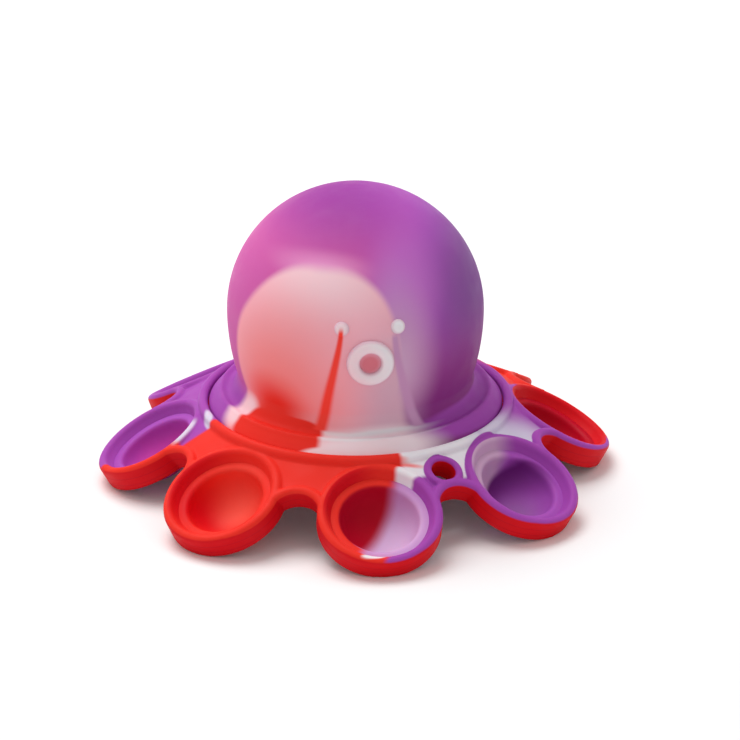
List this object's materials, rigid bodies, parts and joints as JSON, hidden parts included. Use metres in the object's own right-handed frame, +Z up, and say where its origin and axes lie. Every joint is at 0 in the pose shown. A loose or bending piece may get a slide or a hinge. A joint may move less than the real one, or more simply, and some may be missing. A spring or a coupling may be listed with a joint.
{
  "type": "octopus push popper",
  "caption": "Octopus push popper: a hollow domed silicone head with a simple face, on a drooping skirt of round pods whose bubbles pop through their rims.",
  "frame": {"origin": "centre of the ring of pods, on the ground plane that the pods' lower edges stand on", "axes": "+Z up through the crown of the head, -Y the way the face looks, +X to the right of the face as seen from the front"},
  "size_m": [0.1292, 0.1292, 0.0751],
  "materials": {
    "red_silicone": "satin marbled silicone",
    "purple_silicone": "satin marbled silicone",
    "pink_silicone": "satin marbled silicone",
    "white_silicone": "satin marbled silicone"
  },
  "bodies": {
    "skirt": {"collar": "red_silicone", "web_1": "white_silicone", "web_2": "purple_silicone", "web_3": "red_silicone", "web_4": "red_silicone", "web_5": "purple_silicone", "web_6": "purple_silicone", "web_7": "red_silicone", "web_8": "red_silicone", "pod_rim_1": "red_silicone", "pod_rim_2": "purple_silicone", "pod_rim_3": "purple_silicone", "pod_rim_4": "red_silicone", "pod_rim_5": "purple_silicone", "pod_rim_6": "purple_silicone", "pod_rim_7": "purple_silicone", "pod_rim_8": "red_silicone", "head_foot": "pink_silicone", "head_wall": "pink_silicone", "eye_left": "white_silicone", "eye_right": "white_silicone", "mouth_ring": "white_silicone"},
    "popper_1": {"bubble_1": "purple_silicone"},
    "popper_2": {"bubble_2": "purple_silicone"},
    "popper_3": {"bubble_3": "red_silicone"},
    "popper_4": {"bubble_4": "red_silicone"},
    "popper_5": {"bubble_5": "purple_silicone"},
    "popper_6": {"bubble_6": "purple_silicone"},
    "popper_7": {"bubble_7": "purple_silicone"},
    "popper_8": {"bubble_8": "red_silicone"},
    "crown": {"head_crown": "purple_silicone"}
  },
  "joints": [
    {"name": "bubble_1_pop", "type": "slide", "parent": "skirt", "child": "popper_1", "axis": [0, -0.4772, 0.8788], "range_m": [0, 0.0165]},
    {"name": "bubble_2_pop", "type": "slide", "parent": "skirt", "child": "popper_2", "axis": [0.3374, -0.3374, 0.8788], "range_m": [0, 0.0165]},
    {"name": "bubble_3_pop", "type": "slide", "parent": "skirt", "child": "popper_3", "axis": [0.4772, 0, 0.8788], "range_m": [0, 0.0165]},
    {"name": "bubble_4_pop", "type": "slide", "parent": "skirt", "child": "popper_4", "axis": [0.3374, 0.3374, 0.8788], "range_m": [0, 0.0165]},
    {"name": "bubble_5_pop", "type": "slide", "parent": "skirt", "child": "popper_5", "axis": [0, 0.4772, 0.8788], "range_m": [0, 0.0165]},
    {"name": "bubble_6_pop", "type": "slide", "parent": "skirt", "child": "popper_6", "axis": [-0.3374, 0.3374, 0.8788], "range_m": [0, 0.0165]},
    {"name": "bubble_7_pop", "type": "slide", "parent": "skirt", "child": "popper_7", "axis": [-0.4772, 0, 0.8788], "range_m": [0, 0.0165]},
    {"name": "bubble_8_pop", "type": "slide", "parent": "skirt", "child": "popper_8", "axis": [-0.3374, -0.3374, 0.8788], "range_m": [0, 0.0165]},
    {"name": "crown_dent", "type": "slide", "parent": "skirt", "child": "crown", "axis": [0, 0, -1], "range_m": [0, 0.026], "stiffness_N_per_m": 200, "springref_m": -0.002}
  ]
}
